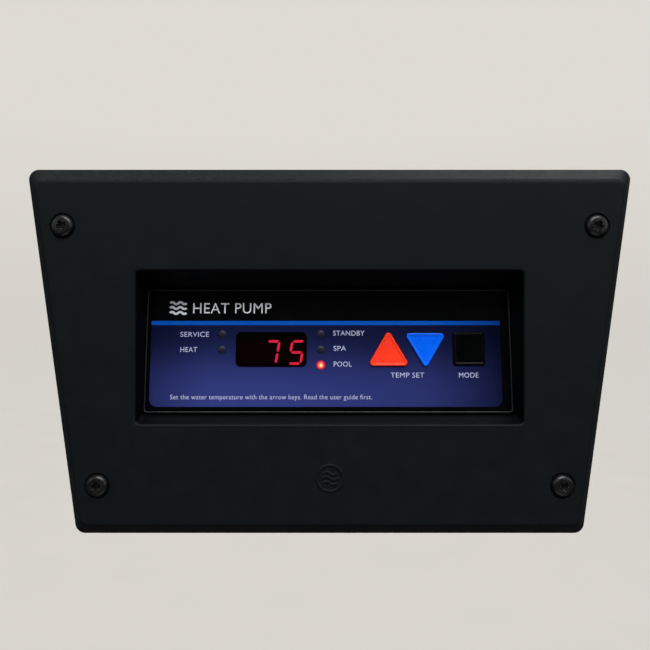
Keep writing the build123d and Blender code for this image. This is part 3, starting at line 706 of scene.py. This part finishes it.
def dished_cap(node, material, body):
    """The CAD keycap with a dish sunk in its top."""
    cap = bmesh.new()
    cap.from_mesh(parts[node].data)
    bmesh.ops.remove_doubles(cap, verts=cap.verts[:], dist=0.001 * mm)
    into_label = label.inverted()
    top = [
        face
        for face in cap.faces
        if face.normal.dot(out) > 0.999
        and (into_label @ face.calc_center_median()).z > cap_top_level - 0.01 * mm
    ]
    crown = bmesh.ops.dissolve_faces(cap, faces=top)["region"]
    middle = crown[0].calc_center_median_weighted()
    for inset, sink in (
        (rim_flat, 0.0),
        (rim_slope / 3, dish_depth * 0.2),
        (rim_slope / 3, dish_depth * 0.5),
        (rim_slope / 3, dish_depth * 0.2),
        (dish_sides, dish_depth * 0.1),
    ):
        crown = bmesh.ops.extrude_discrete_faces(cap, faces=crown)["faces"]
        verts = crown[0].verts[:]
        ends = [edge.verts for edge in crown[0].edges]
        half = min(((a.co + b.co) / 2 - middle).length for a, b in ends)
        shrink = Vector((1, 1, 1)) * (1 - inset / half)
        bmesh.ops.scale(cap, vec=shrink, space=Matrix.Translation(-middle), verts=verts)
        bmesh.ops.translate(cap, vec=-out * sink, verts=verts)
        middle -= out * sink
    piece = new_piece(node.replace("key", "keycap"), cap, material, body, 40.0)
    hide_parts(node)


def key_plastic(name, colour, dark, shine):
    """Solid-coloured plastic, with painted shade down the sides of the cap, in the gap round it."""
    material, tree, shader, spot = new_material(name, Specular_IOR_Level=shine)
    grain = add(
        tree,
        "Group",
        {"Position": spot, "Colour": colour, "Pit Size": 0.2 * mm, "Roughness": 0.28},
        node_tree=mould_grain,
    )
    grain.inputs["Tone Change"].default_value = 0.2
    grain.inputs["Sheen Change"].default_value = 0.2
    edges = add(
        tree, "Group", {"Position": spot, "Radius": 0.2 * mm, "Rub": 0.0}, node_tree=soft_edges
    )
    depth = add(tree, "SeparateXYZ", {0: on_label(tree, spot)}).outputs["Z"]
    # painted shade: the cap's sides, down in the gap, turn to the darker colour
    gap_shade = ramp(tree, depth, cap_top_level - 0.35 * mm, cap_top_level - 0.6 * mm)
    key_colour = mix(tree, gap_shade, grain.outputs["Colour"], dark)
    tree.links.new(key_colour, shader.inputs["Base Color"])
    tree.links.new(grain.outputs["Roughness"], shader.inputs["Roughness"])
    given = {
        "Distance": 0.01 * mm,
        "Height": grain.outputs["Height"],
        "Normal": edges.outputs["Normal"],
    }
    tree.links.new(add(tree, "Bump", given).outputs[0], shader.inputs["Normal"])
    return material


# the last colour of each key is its painted shade in the gap round the cap
for side, slot, shine, colour, dark in (
    ("up", "key_red", 0.2, (0.92, 0.042, 0.016, 1), (0.3, 0.004, 0.003, 1)),
    ("down", "key_blue", 0.2, (0.0, 0.11, 0.82, 1), (0.0, 0.02, 0.24, 1)),
    ("mode", "key_black", 0.07, (0.0006, 0.0008, 0.001, 1), (0.001, 0.001, 0.0012, 1)),
):
    plastic = key_plastic(slot.replace("_", " "), colour, dark, shine)
    dished_cap(f"{side}_key", plastic, f"{side}_key")

# ---- Switches -----------------------------------------------------------------------------------
# A push switch stands on the board behind each key. Its case is glass-filled black nylon and its
# plunger is natural acetal, slightly waxy.

switch_case = moulded(
    "switch case", (0.014, 0.014, 0.014, 1), 0.5, 0.3 * mm, 0.03 * mm, edge=0.15 * mm
)
acetal = moulded("acetal", (0.62, 0.6, 0.55, 1), 0.35, 0.4 * mm, 0.01 * mm, edge=0.1 * mm, rub=0.0)
finish(switch_case, "up_switch", "down_switch", "mode_switch")
finish(acetal, "up_plunger", "down_plunger", "mode_plunger")

# ---- Digits -------------------------------------------------------------------------------------
# Three seven-segment digits stand side by side on the board. Each bar is a block of milky epoxy
# over a small light chip, brightest along its middle, and the case round the bars is black.

digit_case = moulded(
    "digit case", (0.0045, 0.0045, 0.005, 1), 0.5, 0.2 * mm, 0.01 * mm, edge=0.1 * mm, rub=0.0
)
finish(digit_case, "hundreds_digit", "tens_digit", "units_digit")

unlit_bar, tree, shader, spot = new_material("unlit bar", Specular_IOR_Level=0.3)
milk = noise(tree, spot, 0.6 * mm, detail=3.0)
bar_colour = mix(tree, milk, (0.006, 0.004, 0.005, 1), (0.012, 0.007, 0.008, 1))
tree.links.new(bar_colour, shader.inputs["Base Color"])
tree.links.new(ramp(tree, milk, 0.3, 0.7, 0.4, 0.55), shader.inputs["Roughness"])
finish(unlit_bar, "hundreds_dark_bars", "tens_dark_bars", "units_dark_bars")

lit_bar, tree, shader, spot = new_material("lit bar", Emission_Strength=2.4)
given = {"Position": spot, "Radius": 0.55 * mm, "Rub": 1.0}
edges = add(tree, "Group", given, node_tree=soft_edges)
milk = noise(tree, spot, 0.9 * mm, detail=3.0)
core = ramp(tree, milk, 0.25, 0.75, 0.6, 1.0)
dim = calc(tree, "SUBTRACT", core, calc(tree, "MULTIPLY", edges.outputs["Rubbed"], 0.8))
glow = mix(tree, dim, (0.55, 0.004, 0.1, 1), (1.0, 0.2, 0.55, 1))
tree.links.new(glow, shader.inputs["Emission Color"])
bar_colour = mix(tree, milk, (0.3, 0.02, 0.03, 1), (0.5, 0.03, 0.05, 1))
tree.links.new(bar_colour, shader.inputs["Base Color"])
tree.links.new(ramp(tree, milk, 0.3, 0.7, 0.4, 0.55), shader.inputs["Roughness"])
finish(lit_bar, "tens_lit_bars", "units_lit_bars")

# ---- Indicator lamps ----------------------------------------------------------------------------
# Five round lamps of tinted epoxy stand on nylon spacers and show through the label. Only the lamp
# for the pool is lit, with a hot spot over its chip.


def lamp_epoxy(node, centre, ring, glow=None):
    """Epoxy whose colour runs from its centre to its ring, and which may glow."""
    material, tree, shader, spot = new_material(f"{node} epoxy", Specular_IOR_Level=0.2)
    low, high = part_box(node)
    foot = label.inverted() @ ((low + high) / 2)
    sides = add(tree, "SeparateXYZ", {0: on_label(tree, spot, (foot.x, foot.y))}).outputs
    squares = [calc(tree, "POWER", sides[axis], 2.0) for axis in ("X", "Y")]
    away = calc(tree, "SQRT", calc(tree, "ADD", *squares))
    swirl = calc(tree, "MULTIPLY_ADD", noise(tree, spot, 1.2 * mm), 0.5 * mm, away)
    lens_colour = mix(tree, ramp(tree, swirl, 0.9 * mm, 2.0 * mm), centre, ring)
    tree.links.new(lens_colour, shader.inputs["Base Color"])
    tree.links.new(ramp(tree, swirl, 0.0, 2.1 * mm, 0.42, 0.55), shader.inputs["Roughness"])
    if glow:
        strength, heart, halo, rim = glow
        inner = mix(tree, ramp(tree, swirl, 0.6 * mm, 1.4 * mm), heart, halo)
        light = mix(tree, ramp(tree, swirl, 1.3 * mm, 2.0 * mm), inner, rim)
        tree.links.new(light, shader.inputs["Emission Color"])
        shader.inputs["Emission Strength"].default_value = strength
    finish(material, node)


for name in ("service", "heat", "standby", "spa"):
    lamp_epoxy(f"{name}_lamp", (0.0105, 0.0105, 0.0085, 1), (0.01, 0.014, 0.055, 1))
lit_glow = (1.1, (1.0, 0.72, 0.3, 1), (0.95, 0.1, 0.06, 1), (0.5, 0.003, 0.03, 1))
lamp_epoxy("pool_lamp", (0.3, 0.06, 0.03, 1), (0.2, 0.01, 0.01, 1), lit_glow)

nylon = moulded("natural nylon", (0.68, 0.66, 0.58, 1), 0.4, 0.5 * mm, 0.01 * mm, edge=0.15 * mm)
finish(nylon, "lamp_spacers", "harness_socket")

# ---- Circuit board ------------------------------------------------------------------------------
# The board is glass-epoxy laminate under green solder mask. Copper tracks show through the mask as
# paler lines, and the soldered holes are small bright rings.

laminate, tree, shader, spot = new_material("board laminate", Coat_Weight=0.4, Coat_Roughness=0.15)
face = on_label(tree, spot)
track_grid = add(
    tree,
    "TexBrick",
    {
        "Vector": face,
        "Scale": 1.0,
        "Mortar Size": 0.35 * mm,
        "Mortar Smooth": 0.1,
        "Brick Width": 9 * mm,
        "Row Height": 2.54 * mm,
        "Color1": (0, 0, 0, 1),
        "Color2": (0, 0, 0, 1),
        "Mortar": (1, 1, 1, 1),
    },
)
holes = add(tree, "TexVoronoi", {"Vector": face, "Scale": 1 / (5.08 * mm), "Randomness": 0.35})
ring = calc(tree, "COMPARE", holes.outputs["Distance"], 0.12, 0.035)
weave = noise(tree, face, 0.3 * mm, detail=2.0)
mask_green = mix(tree, weave, (0.006, 0.06, 0.022, 1), (0.012, 0.095, 0.035, 1))
tracked = mix(tree, track_grid.outputs["Color"], mask_green, (0.03, 0.17, 0.06, 1))
tree.links.new(mix(tree, ring, tracked, (0.7, 0.7, 0.68, 1)), shader.inputs["Base Color"])
tree.links.new(ring, shader.inputs["Metallic"])
tree.links.new(ramp(tree, weave, 0.3, 0.7, 0.3, 0.42), shader.inputs["Roughness"])
given = {"Distance": 0.035 * mm, "Height": track_grid.outputs["Fac"]}
tree.links.new(add(tree, "Bump", given).outputs[0], shader.inputs["Normal"])
finish(laminate, "circuit_board")

# ---- Parts on the board -------------------------------------------------------------------------
# The chips and the buzzer are black epoxy and plastic, the crystal is a drawn steel can, the
# capacitors wear printed sleeves, and the resistors carry coloured bands.

chip_epoxy = moulded(
    "chip epoxy", (0.011, 0.011, 0.012, 1), 0.55, 0.15 * mm, 0.02 * mm, edge=0.1 * mm, rub=0.3
)
finish(chip_epoxy, "microcontroller", "display_driver", "buzzer", "voltage_regulator")
finish(zinc, "clock_crystal")

can_top_level = -23.1 * mm
sleeve, tree, shader, spot = new_material("capacitor sleeve", Coat_Weight=0.5)
depth = add(tree, "SeparateXYZ", {0: on_label(tree, spot)}).outputs["Z"]
can_top = calc(tree, "LESS_THAN", depth, can_top_level)
wrinkle = noise(tree, spot, 2.0 * mm, detail=3.0)
sleeve_colour = mix(tree, wrinkle, (0.006, 0.008, 0.03, 1), (0.012, 0.016, 0.055, 1))
tree.links.new(mix(tree, can_top, sleeve_colour, (0.6, 0.6, 0.6, 1)), shader.inputs["Base Color"])
tree.links.new(can_top, shader.inputs["Metallic"])
tree.links.new(ramp(tree, wrinkle, 0.3, 0.7, 0.25, 0.4), shader.inputs["Roughness"])
finish(sleeve, "capacitors")

lacquer, tree, shader, spot = new_material("resistor lacquer", Coat_Weight=0.5)
along = add(tree, "SeparateXYZ", {0: on_label(tree, spot)}).outputs["Y"]
speckle = noise(tree, spot, 0.3 * mm, detail=3.0)
lacquer_colour = mix(tree, speckle, (0.42, 0.3, 0.17, 1), (0.55, 0.41, 0.25, 1))
first_band = -18.6 * mm
band_pitch = 1.3 * mm
band_half_width = 0.3 * mm
bands = ((0.12, 0.03, 0.01, 1), (0.01, 0.01, 0.01, 1), (0.6, 0.03, 0.02, 1))
for i, band in enumerate(bands):
    place = calc(tree, "COMPARE", along, first_band + i * band_pitch, band_half_width)
    lacquer_colour = mix(tree, place, lacquer_colour, band)
tree.links.new(lacquer_colour, shader.inputs["Base Color"])
tree.links.new(ramp(tree, speckle, 0.3, 0.7, 0.3, 0.45), shader.inputs["Roughness"])
finish(lacquer, "resistors")

# ---- Harness socket pins ------------------------------------------------------------------------
# Fourteen square brass pins stand in the nylon socket, with a bright tin plate.

tin, tree, shader, spot = new_material("tin plate", Metallic=1.0)
grain_noise = noise(tree, spot, 0.4 * mm, detail=5.0)
tree.links.new(
    mix(tree, grain_noise, (0.6, 0.52, 0.36, 1), (0.82, 0.78, 0.68, 1)), shader.inputs["Base Color"]
)
tree.links.new(ramp(tree, grain_noise, 0.3, 0.7, 0.2, 0.35), shader.inputs["Roughness"])
finish(tin, "socket_pins")

# ---- Rear cover ---------------------------------------------------------------------------------
# A flat lid of the same black ABS closes the tray, with vent slots over the board and an opening
# for the wiring harness.

cover_plastic = moulded(
    "cover plastic", (0.016, 0.017, 0.0185, 1), 0.5, 0.6 * mm, 0.04 * mm, rub=0.5, dusty=0.2
)
finish(cover_plastic, "rear_cover")

# ---- Floor, light and camera --------------------------------------------------------------------
# A pale studio floor lies below and behind the panel, which hangs as it does on its cabinet. Large
# soft lights stand steeply above and beside it, so that its glossy faces mirror only the dark room.

paint, tree, shader, spot = new_material("floor paint", Roughness=0.8, Specular_IOR_Level=0.2)
mottle = noise(tree, spot, 0.4, detail=4.0)
tree.links.new(
    mix(tree, mottle, (0.62, 0.6, 0.555, 1), (0.66, 0.635, 0.59, 1)), shader.inputs["Base Color"]
)
ground = bmesh.new()
bmesh.ops.create_circle(ground, cap_ends=True, radius=30.0, segments=96)
ground.transform(Matrix.Translation((0, 0, -1.5)))
floor_mesh = bpy.data.meshes.new("floor")
ground.to_mesh(floor_mesh)
ground.free()
floor_mesh.materials.append(paint)
floor = bpy.data.objects.new("floor", floor_mesh)
bpy.context.scene.collection.objects.link(floor)
# the floor isn't mirrored in the panel and doesn't light it from below
floor.visible_glossy = False
floor.visible_diffuse = False

world = bpy.data.worlds.new("studio")
bpy.context.scene.world = world
world.use_nodes = True
tree = world.node_tree
background = tree.nodes["Background"]
sides = add(tree, "SeparateXYZ", {0: add(tree, "TexCoord").outputs["Generated"]}).outputs
backdrop = mix(
    tree, ramp(tree, sides["Z"], 0.0, 0.3), (0.66, 0.635, 0.59, 1), (0.73, 0.705, 0.655, 1)
)
room = ramp(tree, sides["Y"], -0.2, 0.5, 0.02, 0.08)
room_grey = add(tree, "CombineColor", {"Red": room, "Green": room, "Blue": room}).outputs[0]
seen = add(tree, "LightPath").outputs["Is Camera Ray"]
tree.links.new(mix(tree, seen, room_grey, backdrop), background.inputs["Color"])

# the studio lights shine on everything in this set, which is all but the floor
all_but_floor = bpy.data.collections.new("all but the floor")
all_but_floor.objects.link(floor)
all_but_floor.collection_objects[0].light_linking.link_state = "EXCLUDE"


def add_light(name, place, width, height, power):
    """A soft rectangular light on the panel but not on the floor, which isn't seen itself."""
    lamp = bpy.data.lights.new(name, "AREA")
    lamp.shape = "RECTANGLE"
    lamp.size = width
    lamp.size_y = height
    lamp.energy = power
    holder = bpy.data.objects.new(name, lamp)
    bpy.context.scene.collection.objects.link(holder)
    holder.location = place
    holder.rotation_euler = (-Vector(place)).to_track_quat("-Z", "Y").to_euler()
    holder.visible_camera = False
    holder.light_linking.receiver_collection = all_but_floor


add_light("ceiling light", (0.2, -1.15, 1.65), 1.8, 1.0, 56.0)
add_light("left light", (-1.5, -1.0, 0.6), 0.9, 0.9, 5.0)
add_light("right light", (1.5, -1.0, 0.6), 0.9, 0.9, 6.0)
add_light("low light", (0.1, -0.9, -1.1), 1.2, 0.5, 3.0)
add_light("back light", (0.7, 1.5, 0.9), 1.2, 1.0, 20.0)
add_light("back fill light", (-0.5, 1.8, 0.2), 0.8, 0.8, 9.0)

# straight down, so that it lights the floor evenly and hardly touches the upright panel
overhead = bpy.data.lights.new("overhead light", "SUN")
overhead.energy = 3.3
overhead.angle = math.radians(50)
overhead_holder = bpy.data.objects.new("overhead light", overhead)
bpy.context.scene.collection.objects.link(overhead_holder)
overhead_holder.visible_glossy = False

# the camera looks level at the panel, from a little above its middle
bpy.context.scene.view_settings.view_transform = "Standard"
eye = bpy.data.cameras.new("camera")
eye.sensor_width = 36.0
eye.lens = 31.24
eye.shift_y = -0.0115
camera = bpy.data.objects.new("camera", eye)
bpy.context.scene.collection.objects.link(camera)
camera.location = (-2.3 * mm, -282 * mm, 16.9 * mm)
camera.rotation_euler = (math.radians(90), 0, 0)
bpy.context.scene.camera = camera
